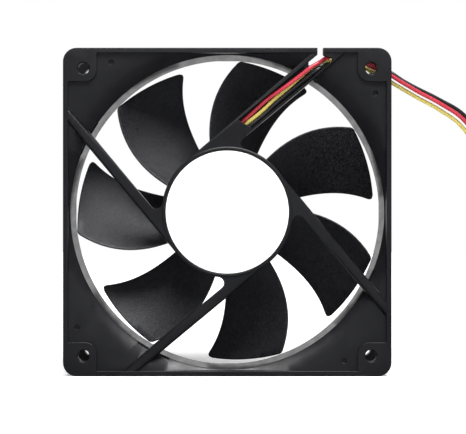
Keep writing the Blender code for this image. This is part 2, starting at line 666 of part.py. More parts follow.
def circuit(finishes):
    """The round board in the motor base and what is soldered to it."""
    board = (-8.4 * MM, -7.2 * MM)
    slab("circuit_board", [circle(19.5 * MM, 36), circle(6.6 * MM, 20)], *board, finishes["board"])
    top = board[1] + 0.05 * MM
    for name, size, angle, radius, finish in (
        ("driver_chip", (5.0, 1.5, 4.0), 40, 13.2, "chip"),
        ("hall_sensor", (3.0, 1.2, 1.6), 90, 16.6, "chip"),
        ("capacitor", (3.2, 1.3, 1.8), 215, 13.2, "ceramic"),
        ("resistor", (2.0, 0.6, 1.25), 315, 13.2, "chip"),
    ):
        size = Vector(size) * MM
        turn = math.radians(angle)
        centre = (radius * MM * math.cos(turn), top + size.y / 2, radius * MM * math.sin(turn))
        box(name, size, centre, finishes[finish])


# Wires

def wires(finishes):
    """Three wires from the board through the channel and out at the corner, then the free lead."""
    for name in WIRE_NAMES:
        inner = [along_strut(s * MM, d * MM, 1) for s, d, _ in CHANNEL_ROUTES[name]]
        route = [(x, y * MM, z) for (x, z), (_, _, y) in zip(inner, CHANNEL_ROUTES[name])]
        route += [Vector(p) * MM for p in POCKET_ROUTES[name]]
        tube(f"{name}_channel_wire", smooth_route(route, 4.5 * MM), WIRE_RADIUS, finishes[name], resolution=1)
        free = [Vector(p) * MM for p in LEAD_ROUTES[name]]
        tube(f"{name}_lead_wire", smooth_route(free, 7 * MM), WIRE_RADIUS, finishes[name], resolution=1)
        tail = [Vector(p) * MM for p in TAIL_ROUTES[name]]
        tube(f"{name}_tail_wire", smooth_route(tail, 4 * MM), WIRE_RADIUS, finishes[name], resolution=1)


def lead_coil(finishes):
    """The outer shape of the coiled wires."""
    middle = FLOOR + COIL_LIFT + COIL_HEIGHT / 2
    section = rounded_rectangle(COIL_WIDTH, COIL_HEIGHT, 1.4 * MM, 2)
    edges = [(i, (i + 1) % len(section)) for i in range(len(section))]
    mesh = bpy.data.meshes.new("lead_coil")
    mesh.from_pydata([(COIL_RADIUS + x, 0, y) for x, y in section[::-1]], edges, [])
    place = Matrix.Translation(COIL_CENTRE + Vector((0, 0, middle)))
    made = add("lead_coil", mesh, finishes["black"], place)
    screw = made.modifiers.new("Turn", "SCREW")
    screw.steps = screw.render_steps = 24
    screw.use_merge_vertices = True
    screw.merge_threshold = 0.001 * MM


def lead_tie(finishes):
    """The band that holds the coiled wires together."""
    space = 0.2 * MM
    width, height = COIL_WIDTH + 2 * space, COIL_HEIGHT + 2 * space
    outside = rounded_rectangle(width + 2 * TIE_THICKNESS, height + 2 * TIE_THICKNESS, 1.6 * MM, 3)
    inside = rounded_rectangle(width, height, 1.3 * MM, 3)
    middle = FLOOR + COIL_LIFT + COIL_HEIGHT / 2
    place = Matrix.Translation(COIL_CENTRE + Vector((COIL_RADIUS, 0, middle)))
    place = place @ Matrix.Rotation(math.pi / 2, 4, "X")
    extruded("lead_tie", [outside, inside], place, 2.4 * MM, finishes["tie"])


def plug(finishes):
    """The three-pin plug on the end of the lead, with a crimp terminal in each cavity."""
    centre = Vector((PLUG_START + PLUG_SIZE.x / 2, PLUG_CENTRE_Y, FLOOR + PLUG_SIZE.z / 2 + 0.1 * MM))
    housing = box("plug_housing", PLUG_SIZE, centre, finishes["plug"], bevel=0.3 * MM)
    for side in (-1, 1):
        rib = box(f"plug_rib_{side + 2}", (10 * MM, 0.9 * MM, 1.4 * MM),
                  centre + Vector((0.8 * MM, side * 2.2 * MM, PLUG_SIZE.z / 2)), bevel=0.2 * MM)
        combine(housing, "UNION", rib)
    for number, name in enumerate(("yellow", "red", "black")):
        across = Vector((0, (number - 1) * PIN_PITCH, 0))
        cavity = box(f"plug_cavity_{number}", (PLUG_SIZE.x + 4 * MM, 1.8 * MM, 2.0 * MM), centre + across)
        combine(housing, "DIFFERENCE", cavity)
        crimp = box(f"{name}_terminal", (9.0 * MM, 1.5 * MM, 1.7 * MM), centre + across, finishes["tin"])
        socket = box(f"terminal_socket_{number}", (5.0 * MM, 0.9 * MM, 0.9 * MM),
                     centre + across + Vector((4.5 * MM, 0, 0)))
        combine(crimp, "DIFFERENCE", socket)


def finishes_of_parts():
    """Every material, by the name of what it is."""
    return {
        "frame": material("frame_plastic", (0.030, 0.030, 0.034), 0.42),
        "impeller": material("impeller_plastic", (0.014, 0.014, 0.016), 0.5),
        "label": material("label_paper", (0.9, 0.9, 0.9), 0.5),
        "steel": material("yoke_steel", (0.35, 0.35, 0.36), 0.35, 1.0),
        "magnet": material("magnet_rubber", (0.05, 0.045, 0.045), 0.7),
        "shaft_steel": material("shaft_steel", (0.55, 0.55, 0.56), 0.2, 1.0),
        "bearing_steel": material("bearing_steel", (0.6, 0.6, 0.62), 0.2, 1.0),
        "ball_steel": material("ball_steel", (0.7, 0.7, 0.72), 0.1, 1.0),
        "brass": material("brass", (0.62, 0.45, 0.18), 0.3, 1.0),
        "nylon": material("nylon", (0.75, 0.73, 0.68), 0.5),
        "lamination": material("lamination_steel", (0.25, 0.25, 0.27), 0.45, 1.0),
        "insulator": material("insulator_plastic", (0.75, 0.72, 0.6), 0.5),
        "copper": material("enamelled_copper", (0.55, 0.2, 0.07), 0.3, 1.0),
        "board": material("board_green", (0.02, 0.16, 0.06), 0.45),
        "chip": material("chip_epoxy", (0.02, 0.02, 0.02), 0.5),
        "ceramic": material("ceramic_tan", (0.45, 0.33, 0.2), 0.5),
        "red": material("red_insulation", (0.55, 0.03, 0.05), 0.4),
        "yellow": material("yellow_insulation", (0.72, 0.56, 0.12), 0.4),
        "black": material("black_insulation", (0.015, 0.015, 0.017), 0.4),
        "tie": material("tie_nylon", (0.02, 0.02, 0.02), 0.45),
        "plug": material("plug_nylon", (0.8, 0.78, 0.72), 0.45),
        "tin": material("tinned_brass", (0.7, 0.68, 0.62), 0.3, 1.0),
    }


clear_scene()
PART = collection("Case fan")
TOOLS = collection("Cutters and joined shapes")
FINISHES = finishes_of_parts()
frame(FINISHES["frame"])
ring("label", 0.0, LABEL_RADIUS, LABEL_FLOOR - 0.25 * MM, LABEL_FLOOR - 0.05 * MM, FINISHES["label"], 48)
tube_and_spring(FINISHES)
bearing("lower", BEARINGS["lower"], -1, FINISHES)
bearing("upper", BEARINGS["upper"], 1, FINISHES)
stator(FINISHES)
circuit(FINISHES)
impeller(FINISHES["impeller"])
rotor(FINISHES)
wires(FINISHES)
lead_coil(FINISHES)
lead_tie(FINISHES)
plug(FINISHES)
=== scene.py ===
"""The looks of a 120 mm case fan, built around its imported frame.

X points right and Z up, seen from the exhaust side, which faces -Y. The rotor turns about Y. Metres.
"""

import json
import math

import bmesh
import bpy
from mathutils import Matrix, Vector


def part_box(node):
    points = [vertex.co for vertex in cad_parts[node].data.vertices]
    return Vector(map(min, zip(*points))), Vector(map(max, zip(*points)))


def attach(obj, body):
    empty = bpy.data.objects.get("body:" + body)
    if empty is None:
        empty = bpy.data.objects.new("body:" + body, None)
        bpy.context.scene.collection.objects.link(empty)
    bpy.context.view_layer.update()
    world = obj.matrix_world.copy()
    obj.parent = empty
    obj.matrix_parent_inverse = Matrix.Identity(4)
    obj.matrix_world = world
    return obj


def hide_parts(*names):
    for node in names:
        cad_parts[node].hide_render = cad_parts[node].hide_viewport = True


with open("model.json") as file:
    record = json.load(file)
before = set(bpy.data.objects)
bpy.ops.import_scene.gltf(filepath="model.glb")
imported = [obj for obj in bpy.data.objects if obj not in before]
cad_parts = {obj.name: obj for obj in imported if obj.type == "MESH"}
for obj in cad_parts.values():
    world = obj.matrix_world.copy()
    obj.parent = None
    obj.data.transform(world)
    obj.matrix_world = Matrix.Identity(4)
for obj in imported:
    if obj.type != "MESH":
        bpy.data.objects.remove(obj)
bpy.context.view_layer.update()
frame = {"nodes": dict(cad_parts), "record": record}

MM = 0.001

# Frame
SIZE = 120.0 * MM
DEPTH = 25.0 * MM
CORNER_RADIUS = 5.0 * MM
EXHAUST = -DEPTH / 2
INTAKE = DEPTH / 2
FLANGE = 3.5 * MM
BORE_RADIUS = 57.8 * MM
DUCT_RADIUS = 60.2 * MM
FLARE_RADIUS = 62.9 * MM
FLARE_DEPTH = 4.0 * MM
INTAKE_RADIUS = 61.0 * MM
RECESS = 1.0 * MM
RIM_INSIDE = 58.2 * MM
PAD_INSIDE = 47.7 * MM
PAD_ROUNDING = 4.3 * MM
HOLE_RADIUS = 2.15 * MM
HOLE_OFFSET = 52.5 * MM
NOTCH_ANGLES = (145.5, 158.3)
NOTCH_RADIUS = 58.5 * MM
NOTCH_DEPTH = 5.5 * MM
DIMPLE_RADIUS = 1.0 * MM
DIMPLE_DEPTH = 0.6 * MM
EDGE_ROUNDING = 0.25 * MM
COUNTERSINK = 0.25 * MM

# How far a cutting shape reaches past the face it cuts
OVER = 1.0 * MM

# Motor base and struts
BASE_RADIUS = 24.0 * MM
BASE_WALL = 1.4 * MM
BASE_END = -8.2 * MM
PLATE_INSIDE = -10.5 * MM
TUBE_RADIUS = 5.25 * MM
LABEL_RADIUS = 22.46 * MM
LABEL_FLOOR = EXHAUST + 0.5 * MM
STRUT_ANGLE = math.radians(129.7)
STRUT_TOP = EXHAUST + 0.2 * MM
STRUT_BACK = -7.8 * MM
STRUT_OUTSIDE = 23.97 * MM
STRUT_INSIDE = 20.12 * MM
STRUT_FILLET = 2.3 * MM
STRUT_ROUNDING = 1.3 * MM
WIRE_STRUT_ROUNDING = 0.4 * MM
WIRE_STRUT_OUTSIDE = 24.95 * MM
WIRE_STRUT_INSIDE = 17.1 * MM
CHANNEL_OUTSIDE = 23.3 * MM
CHANNEL_INSIDE = 17.9 * MM
CHANNEL_FLOOR = -8.9 * MM
CHANNEL_START = 24.5 * MM

# World X and Z in mm: the ejector marks, the channel's end, and the ways through both flanges
DIMPLES = ((-42.4, 54.8), (54.2, 43.4), (42.7, -54.4), (-54.9, -42.2))
CHANNEL_CORNER = ((35.05, 57.5), (38.3, 56.2))
SLIT = ((32.95, 62.0), (32.95, 57.2), (30.4, 54.7), (37.0, 55.6), (35.05, 57.7), (35.05, 62.0))
REAR_SLIT = ((31.0, 62.0), (31.0, 56.2), (38.5, 56.2), (38.5, 62.0))

# Impeller
BLADES = 7
HUB_RADIUS = 22.8 * MM
HUB_WALL = 1.2 * MM
HUB_FACE = 11.5 * MM
HUB_CEILING = 10.08 * MM
HUB_END = -7.4 * MM
HUB_ROUNDING = 1.6 * MM
TIP_RADIUS = 56.0 * MM
BLADE_LEADING = 10.5 * MM
BLADE_TRAILING = -6.0 * MM
BLADE_HALF = 0.62 * MM
TIP_ROUNDING = 2.2 * MM
TRAILING_ROUNDING = 1.3 * MM
BLADE_ROWS = 15

# Shares of the chord: the tip's rounded corners, the round edges, and the section's points
TIP_LEADING = 0.07
TIP_TRAILING = 0.035
EDGE_LEADING = 0.03
EDGE_TRAILING = 0.02
CHORDS = (0.0, 0.004, 0.012, 0.03, 0.07, *(0.07 + 0.86 * i / 15 for i in range(1, 15)),
          0.93, 0.965, 0.98, 0.99, 0.996, 1.0)

# Lead
FLOOR = -SIZE / 2
WIRE_RADIUS = 0.75 * MM
COIL_CENTRE = Vector((113.0, 0.0, 0.0)) * MM
COIL_TURNS = 2.25
WIRE_SPACING = 1.0 * MM
POINTS_A_TURN = 16
STEPS_BETWEEN = 12
WIRE_NAMES = ("red", "yellow", "black")

# In mm: the coil's radii, and its lowest and highest turn
COIL_RADII = {"red": 10.5, "yellow": 12.05, "black": 8.95}
COIL_LOW = -58.7
COIL_HIGH = -55.2

# In mm: (along the wire strut, from the axis, y) in the channel, then world places
CHANNEL_ROUTES = {
    "red": [
        (3, 18.4, -9.4), (10, 19.7, -9.4), (18, 21.4, -9.5), (25, 21.95, -9.95), (30, 22.15, -10.2),
        (35, 22.4, -10.5), (39, 22.4, -10.8), (43, 22.0, -11.0), (47, 21.6, -11.2), (52, 21.35, -11.3),
        (57.5, 21.2, -11.25), (60.3, 20.8, -10.2), (62.5, 20.6, -8.9), (64.3, 20.4, -8.1),
    ],
    "yellow": [
        (3, 16.6, -9.4), (10, 17.9, -9.4), (18, 19.7, -9.45), (25, 20.4, -9.72), (30, 20.4, -9.72),
        (34, 20.4, -9.72), (38, 20.75, -9.72), (42, 20.87, -9.72), (47, 20.9, -9.72), (52, 21.1, -9.72),
        (57.5, 21.15, -9.72), (60.3, 20.7, -8.5), (62.5, 20.1, -7.25), (64.3, 19.7, -6.2),
    ],
    "black": [
        (3, 14.8, -9.4), (10, 16.1, -9.4), (18, 17.9, -9.45), (25, 18.82, -9.72), (30, 18.85, -9.72),
        (34, 18.85, -9.72), (38, 19.15, -9.72), (42, 19.25, -9.72), (50, 19.3, -9.72),
        (58.9, 19.1, -9.85), (61.2, 18.8, -7.7), (62.9, 18.7, -5.8), (64.3, 18.7, -4.3),
    ],
}
POCKET_ROUTES = {
    "red": [
        (39.6, -8.1, 57.3), (46.2, -7.7, 57.3), (52.7, -7.0, 54.3), (57.4, -6.5, 52.4),
    ],
    "yellow": [
        (40.0, -6.2, 55.9), (46.2, -5.6, 55.7), (52.5, -5.2, 52.7), (57.4, -5.0, 50.5),
    ],
    "black": [
        (40.5, -3.6, 56.2), (46.5, -3.2, 57.8), (53.0, -3.6, 55.9), (57.4, -4.2, 53.6),
    ],
}
LEAD_ROUTES = {
    "red": [
        (57.8, -6.45, 52.2), (61.0, -6.0, 50.3), (64.6, -5.7, 48.1), (67.8, -5.4, 46.3),
        (71.2, -5.0, 44.4), (79.0, -4.0, 40.4), (88.0, -2.2, 34.6), (95.6, 0.6, 24.5), (99.8, 4.6, 8.5),
        (101.6, 9.0, -11.0), (102.3, 12.8, -31.0), (102.6, 14.6, -46.0), (102.5, 13.8, -54.8),
        (102.5, 11.4, -58.2), (102.5, 8.9, -58.7),
    ],
    "yellow": [
        (57.8, -4.95, 50.3), (61.2, -4.7, 48.0), (64.6, -4.4, 46.0), (67.8, -4.0, 44.2),
        (71.2, -3.6, 42.3), (79.0, -2.6, 38.2), (87.6, -0.8, 32.2), (94.4, 2.0, 22.2), (98.2, 6.0, 6.6),
        (100.0, 10.4, -12.2), (100.8, 14.0, -32.0), (101.1, 15.8, -47.0), (100.95, 14.8, -55.4),
        (100.95, 11.8, -58.3), (100.95, 7.4, -58.7),
    ],
    "black": [
        (57.8, -4.25, 53.4), (61.2, -4.4, 51.5), (64.6, -4.3, 49.2), (67.8, -4.0, 47.4),
        (71.2, -3.6, 45.7), (79.0, -2.4, 42.0), (88.4, -0.6, 36.6), (96.6, 2.2, 26.6), (101.2, 6.2, 10.0),
        (103.2, 10.6, -10.0), (103.9, 14.2, -30.0), (104.2, 15.9, -45.0), (104.1, 15.2, -54.4),
        (104.05, 12.8, -58.1), (104.05, 10.3, -58.7),
    ],
}
TAIL_ROUTES = {
    "red": [
        (121.8, -10.5, -55.2), (126.5, -10.5, -56.1), (131.7, -10.5, -57.0), (134.6, -10.5, -57.0),
    ],
    "yellow": [
        (120.0, -12.05, -55.2), (126.0, -12.5, -56.1), (131.7, -13.04, -57.0), (134.6, -13.04, -57.0),
    ],
    "black": [
        (123.3, -8.95, -55.2), (127.0, -8.5, -56.1), (131.7, -7.96, -57.0), (134.6, -7.96, -57.0),
    ],
}

# Studio
LENS = 95.27
SENSOR = 36.0
CAMERA_PLACE = (0.0021, -0.4625, -0.0018)
FLOOR_RADIUS = 1.6

# Finishes: name, dark and light colour, roughness from and to, grain scale, grain depth in mm
PLASTICS = {
    "label": ("label_film", (0.86, 0.86, 0.85), (0.93, 0.93, 0.92), (0.35, 0.5), 2500.0, 0.004),
    "magnet": ("magnet_rubber", (0.035, 0.032, 0.032), (0.065, 0.058, 0.056), (0.6, 0.8), 1500.0, 0.02),
    "nylon": ("washer_nylon", (0.68, 0.66, 0.60), (0.80, 0.78, 0.72), (0.4, 0.6), 2500.0, 0.006),
    "insulator": ("insulator_plastic", (0.66, 0.62, 0.48), (0.78, 0.75, 0.62), (0.4, 0.6), 2000.0, 0.01),
    "chip": ("chip_epoxy", (0.012, 0.012, 0.012), (0.03, 0.03, 0.03), (0.45, 0.65), 5000.0, 0.01),
    "ceramic": ("ceramic_tan", (0.38, 0.27, 0.15), (0.50, 0.38, 0.24), (0.35, 0.55), 4000.0, 0.01),
    "tie": ("tie_nylon", (0.012, 0.012, 0.012), (0.026, 0.026, 0.026), (0.35, 0.5), 2500.0, 0.008),
}
INSULATIONS = {
    "red": ("red_insulation", (0.36, 0.016, 0.034), (0.47, 0.034, 0.058), (0.26, 0.38), 1800.0, 0.012),
    "yellow": ("yellow_insulation", (0.47, 0.39, 0.085), (0.59, 0.50, 0.13), (0.26, 0.38), 1800.0, 0.012),
    "black": ("black_insulation", (0.009, 0.009, 0.010), (0.018, 0.018, 0.020), (0.28, 0.42), 1800.0, 0.012),
}
METALS = {
    "steel": ("yoke_steel", (0.30, 0.30, 0.31), (0.42, 0.42, 0.43), (0.28, 0.45), 500.0, 0.01),
    "shaft_steel": ("ground_steel", (0.48, 0.48, 0.50), (0.62, 0.62, 0.63), (0.12, 0.25), 2200.0, 0.003),
    "bearing_steel": ("bearing_steel", (0.52, 0.52, 0.54), (0.66, 0.66, 0.67), (0.1, 0.24), 1800.0, 0.003),
    "ball_steel": ("ball_steel", (0.62, 0.62, 0.64), (0.75, 0.75, 0.76), (0.05, 0.12), 1200.0, 0.001),
    "brass": ("turned_brass", (0.55, 0.38, 0.14), (0.70, 0.52, 0.22), (0.2, 0.4), 900.0, 0.006),
    "tin": ("tinned_brass", (0.58, 0.56, 0.50), (0.74, 0.72, 0.66), (0.2, 0.38), 1500.0, 0.006),
}


# Materials

class Surface:
    """A Principled material built up from procedural nodes in object coordinates."""

    def __init__(self, name, roughness=0.5, metallic=0.0, **fixed):
        self.material = bpy.data.materials.new(name)
        self.material.use_nodes = True
        self.tree = self.material.node_tree
        self.shader = self.tree.nodes["Principled BSDF"]
        self.shader.inputs["Roughness"].default_value = roughness
        self.shader.inputs["Metallic"].default_value = metallic
        for socket, value in fixed.items():
            self.shader.inputs[socket.replace("_", " ")].default_value = value
        self.place = self.tree.nodes.new("ShaderNodeTexCoord").outputs["Object"]

    def add(self, kind, inputs=None, **settings):
        node = self.tree.nodes.new(kind)
        for name, value in settings.items():
            setattr(node, name, value)
        for name, value in (inputs or {}).items():
            if isinstance(value, bpy.types.NodeSocket):
                self.tree.links.new(value, node.inputs[name])
            else:
                node.inputs[name].default_value = value
        return node

    def stretched(self, scale):
        """Object coordinates scaled differently along each axis."""
        return self.add("ShaderNodeMapping", {"Vector": self.place, "Scale": scale}).outputs["Vector"]

    def noise(self, scale, detail=3.0, roughness=0.55, place=None):
        inputs = {"Vector": place or self.place, "Scale": scale, "Detail": detail, "Roughness": roughness}
        return self.add("ShaderNodeTexNoise", inputs).outputs["Fac"]

    def ranged(self, value, low, high, from_low=0.3, from_high=0.7):
        inputs = {"Value": value, "From Min": from_low, "From Max": from_high, "To Min": low, "To Max": high}
        return self.add("ShaderNodeMapRange", inputs).outputs["Result"]

    def colours(self, value, low, high, from_low=0.3, from_high=0.7):
        """Blends two colours by a value."""
        ramp = self.add("ShaderNodeValToRGB", {"Fac": value})
        ramp.color_ramp.elements[0].position = from_low
        ramp.color_ramp.elements[1].position = from_high
        ramp.color_ramp.elements[0].color = (*low, 1.0)
        ramp.color_ramp.elements[1].color = (*high, 1.0)
        self.tree.links.new(ramp.outputs["Color"], self.shader.inputs["Base Color"])
        return self

    def rough(self, value, low, high, from_low=0.3, from_high=0.7):
        result = self.ranged(value, low, high, from_low, from_high)
        self.tree.links.new(result, self.shader.inputs["Roughness"])
        return self

    def bump(self, height, distance, edges=0.0):
        """Fine relief, over edges softened by a small radius."""
        inputs = {"Height": height, "Distance": distance}
        if edges:
            inputs["Normal"] = self.add("ShaderNodeBevel", {"Radius": edges}, samples=6).outputs["Normal"]
        relief = self.add("ShaderNodeBump", inputs).outputs["Normal"]
        self.tree.links.new(relief, self.shader.inputs["Normal"])
        return self


def moulded(name, low, high, rough, grain, depth, edges=0.0, **fixed):
    """Moulded plastic: slow colour variation and faint draw marks along the axis, over a fine grain."""
    made = Surface(name, **fixed)
    made.colours(made.noise(45.0), low, high)
    made.rough(made.noise(260.0, 5.0, place=made.stretched((1.0, 0.15, 1.0))), *rough)
    made.bump(made.noise(grain, 4.0, 0.65), depth * MM, edges * MM)
    return made.material


def metal(name, low, high, rough, scale, depth):
    """Metal with tool marks that run around the rotor's axis or along a drawn face."""
    made = Surface(name, metallic=1.0)
    marks = made.noise(scale, 4.0, place=made.stretched((1.0, 6.0, 1.0)))
    made.colours(marks, low, high)
    made.rough(made.noise(scale / 3), *rough)
    made.bump(marks, depth * MM)
    return made.material


def blade_plastic():
    """Spark-textured black plastic: a coarse grain of small cells over a finer one."""
    made = Surface("impeller_plastic", Specular_IOR_Level=0.42)
    grain = made.noise(1000.0, 3.0, 0.7)
    fine = made.noise(4200.0, 2.0, 0.6)
    made.colours(grain, (0.006, 0.006, 0.0075), (0.020, 0.020, 0.0245), 0.35, 0.75)
    made.rough(made.noise(380.0, 4.0), 0.32, 0.48)
    height = made.add("ShaderNodeMath", {0: grain, 1: fine}, operation="ADD").outputs["Value"]
    made.bump(height, 0.11 * MM, 0.15 * MM)
    return made.material


def lamination_steel():
    """Thin sheets stacked along the axis, with dark joints between them."""
    made = Surface("lamination_steel", metallic=1.0)
    apart = made.add("ShaderNodeSeparateXYZ", {"Vector": made.place}).outputs["Y"]
    sheets = made.add("ShaderNodeMath", {0: apart, 1: 2000.0}, operation="MULTIPLY").outputs["Value"]
    sheet = made.add("ShaderNodeMath", {0: sheets}, operation="FRACT").outputs["Value"]
    made.colours(sheet, (0.05, 0.05, 0.055), (0.30, 0.30, 0.32), 0.05, 0.2)
    made.rough(made.noise(700.0), 0.35, 0.6)
    made.bump(sheet, 0.05 * MM)
    return made.material


def copper_winding():
    """Enamelled wire laid in close turns."""
    made = Surface("enamelled_copper", metallic=1.0, Coat_Weight=0.5)
    turns = made.add("ShaderNodeTexWave", {"Vector": made.place, "Scale": 620.0, "Distortion": 0.6},
                     bands_direction="DIAGONAL").outputs["Fac"]
    made.colours(turns, (0.22, 0.06, 0.02), (0.75, 0.30, 0.12), 0.1, 0.8)
    made.rough(made.noise(900.0), 0.22, 0.4)
    made.bump(turns, 0.08 * MM)
    return made.material


def board_green():
    """Solder mask over fine tracks."""
    made = Surface("board_green", Coat_Weight=0.3)
    tracks = made.add("ShaderNodeTexBrick", {
        "Vector": made.place, "Scale": 260.0, "Mortar Size": 0.06, "Color1": (0.1, 0.1, 0.1, 1.0),
        "Color2": (0.3, 0.3, 0.3, 1.0), "Mortar": (1.0, 1.0, 1.0, 1.0),
    })
    made.colours(tracks.outputs["Color"], (0.01, 0.10, 0.035), (0.04, 0.22, 0.09), 0.1, 0.9)
    made.rough(made.noise(600.0), 0.25, 0.45)
    made.bump(tracks.outputs["Fac"], 0.03 * MM)
    return made.material


def materials():
    """Every material, by the record's slot."""
    cable = {"Coat_Weight": 0.12, "Specular_IOR_Level": 0.5}
    made = {slot: moulded(*values) for slot, values in PLASTICS.items()}
    made |= {slot: moulded(*values, **cable) for slot, values in INSULATIONS.items()}
    made |= {slot: metal(*values) for slot, values in METALS.items()}
    made["frame"] = moulded("frame_plastic", (0.0050, 0.0050, 0.0064), (0.0085, 0.0085, 0.0105),
                            (0.30, 0.44), 3800.0, 0.010, 0.2, Specular_IOR_Level=0.33)
    made["impeller"] = blade_plastic()
    made["plug"] = moulded("plug_nylon", (0.72, 0.70, 0.62), (0.82, 0.80, 0.74), (0.35, 0.5),
                           2200.0, 0.008, 0.12, Subsurface_Weight=0.1)
    made["lamination"] = lamination_steel()
    made["copper"] = copper_winding()
    made["board"] = board_green()
    return made


# Shapes

def collection(name):
    made = bpy.data.collections.new(name)
    bpy.context.scene.collection.children.link(made)
    return made


def add(name, data, slot=None, matrix=None):
    """An object with one material, by the record's slot, or with none while it is only a tool."""
    made = bpy.data.objects.new(name, data)
    LOOKS.objects.link(made)
    if slot:
        data.materials.append(FINISHES[slot])
    if matrix:
        made.matrix_world = matrix
    return made


def applied(target):
    """Turns an object's modifiers and its own place into plain mesh."""
    bpy.context.view_layer.update()
    graph = bpy.context.evaluated_depsgraph_get()
    mesh = bpy.data.meshes.new_from_object(target.evaluated_get(graph))
    mesh.transform(target.matrix_world)
    finish = target.data.materials[:]
    target.modifiers.clear()
    target.data = mesh
    target.matrix_world = Matrix.Identity(4)
    mesh.materials.clear()
    for one in finish:
        mesh.materials.append(one)
    return target


def combine(target, operation, tools):
    """Cuts, joins or intersects with the tools, then removes them."""
    for tool in tools:
        step = target.modifiers.new(operation, "BOOLEAN")
        step.operation = operation
        step.object = tool
        step.solver = "MANIFOLD"
    applied(target)
    for tool in tools:
        bpy.data.objects.remove(tool, do_unlink=True)
    return target


def facing_exhaust(y=0.0):
    """Turns local XY into world XZ, so that a flat outline faces -Y at this depth."""
    return Matrix.Translation((0, y, 0)) @ Matrix.Rotation(math.pi / 2, 4, "X")


def smooth_shading(mesh, degrees=32):
    mesh.shade_smooth()
    mesh.set_sharp_from_angle(angle=math.radians(degrees))


def turned(name, profile, slot=None, steps=128):
    """A shape turned about Y from (radius, y) points. Ends on the axis leave the profile open there."""
    area = sum(a[0] * b[1] - b[0] * a[1] for a, b in zip(profile, profile[1:] + profile[:1]))
    points = profile if area > 0 else profile[::-1]
    mesh = bpy.data.meshes.new(name)
    edges = [(i, i + 1) for i in range(len(points) - 1)]
    if points[0][0] > 0 or points[-1][0] > 0:
        edges.append((len(points) - 1, 0))
    mesh.from_pydata([(radius, 0, -y) for radius, y in points], edges, [])
    made = add(name, mesh, slot, facing_exhaust())
    screw = made.modifiers.new("Turn", "SCREW")
    screw.axis = "Z"
    screw.steps = screw.render_steps = steps
    screw.use_merge_vertices = True
    screw.merge_threshold = 0.001 * MM
    return applied(made)


def extruded(name, outlines, matrix, thickness, slot=None, bevel=0.0):
    """A flat outline, with holes where outlines nest, given a thickness about its own plane."""
    curve = bpy.data.curves.new(name, "CURVE")
    curve.dimensions = "2D"
    curve.fill_mode = "BOTH"
    curve.extrude = thickness / 2
    for outline in outlines:
        spline = curve.splines.new("POLY")
        spline.points.add(len(outline) - 1)
        for point, (x, y) in zip(spline.points, outline):
            point.co = (x, y, 0, 1)
        spline.use_cyclic_u = True
    guide = bpy.data.objects.new(name + "_outline", curve)
    LOOKS.objects.link(guide)
    bpy.context.view_layer.update()
    graph = bpy.context.evaluated_depsgraph_get()
    mesh = bpy.data.meshes.new_from_object(guide.evaluated_get(graph))
    bpy.data.objects.remove(guide, do_unlink=True)
    solid = bmesh.new()
    solid.from_mesh(mesh)
    bmesh.ops.remove_doubles(solid, verts=solid.verts, dist=0.001 * MM)
    bmesh.ops.dissolve_limit(solid, angle_limit=0.001, verts=solid.verts, edges=solid.edges)
    bmesh.ops.recalc_face_normals(solid, faces=solid.faces)
    if bevel:
        corners = [edge for edge in solid.edges if edge.calc_face_angle(0.0) > 1.2]
        flat = [edge for edge in corners if abs(edge.verts[0].co.z - edge.verts[1].co.z) < 0.01 * MM]
        bmesh.ops.bevel(solid, geom=flat, offset=bevel, segments=3, profile=0.5, affect="EDGES")
    solid.to_mesh(mesh)
    solid.free()
    mesh.name = name
    return add(name, mesh, slot, matrix)


def slab(name, outlines, low, high, slot=None, bevel=0.0):
    """An outline in world X and Z, from one depth to another."""
    return extruded(name, outlines, facing_exhaust((low + high) / 2), high - low, slot, bevel)


def box(name, size, centre, slot=None, bevel=0.0):
    """A box with rounded edges."""
    mesh = bpy.data.meshes.new(name)
    solid = bmesh.new()
    bmesh.ops.create_cube(solid, size=1.0, matrix=Matrix.Diagonal((*size, 1.0)))
    if bevel:
        bmesh.ops.bevel(solid, geom=solid.edges[:], offset=bevel, segments=3, profile=0.5, affect="EDGES")
    solid.to_mesh(mesh)
    solid.free()
    return add(name, mesh, slot, Matrix.Translation(centre))


def arc(radius, start, end, steps, centre=(0.0, 0.0)):
    """Points on an arc, in degrees, both ends included."""
    turns = [math.radians(start + (end - start) * i / steps) for i in range(steps + 1)]
    return [(centre[0] + radius * math.cos(t), centre[1] + radius * math.sin(t)) for t in turns]


def circle(radius, steps, centre=(0.0, 0.0)):
    return arc(radius, 0, 360 * (steps - 1) / steps, steps - 1, centre)


def rounded_rectangle(width, height, radius, steps=8):
    corners = [(1, 1, 0), (-1, 1, 90), (-1, -1, 180), (1, -1, 270)]
    points = []
    for x, y, start in corners:
        centre = (x * (width / 2 - radius), y * (height / 2 - radius))
        points += arc(radius, start, start + 90, steps, centre)
    return points


def rotated(points, degrees):
    turn = Matrix.Rotation(math.radians(degrees), 2)
    return [tuple(turn @ Vector(point)) for point in points]


def in_mm(points):
    return [(x * MM, z * MM) for x, z in points]


def smooth_route(points):
    """Points at an even spacing along a smooth curve through a route's own points."""
    knots = [Vector(p) for p in points]
    ends = [2 * knots[0] - knots[1], *knots, 2 * knots[-1] - knots[-2]]
    fine = [knots[0]]
    for a, b, c, d in zip(ends, ends[1:], ends[2:], ends[3:]):
        for i in range(1, STEPS_BETWEEN + 1):
            t = i / STEPS_BETWEEN
            fine.append(0.5 * (2 * b + (c - a) * t + (2 * a - 5 * b + 4 * c - d) * t**2
                               + (3 * b - a - 3 * c + d) * t**3))
    lengths = [0.0]
    for a, b in zip(fine, fine[1:]):
        lengths.append(lengths[-1] + (b - a).length)
    count = round(lengths[-1] / WIRE_SPACING)
    even, at = [], 0
    for i in range(count + 1):
        wanted = lengths[-1] * i / count
        while at < len(fine) - 2 and lengths[at + 1] < wanted:
            at += 1
        share = (wanted - lengths[at]) / (lengths[at + 1] - lengths[at])
        even.append(fine[at].lerp(fine[at + 1], share))
    return even


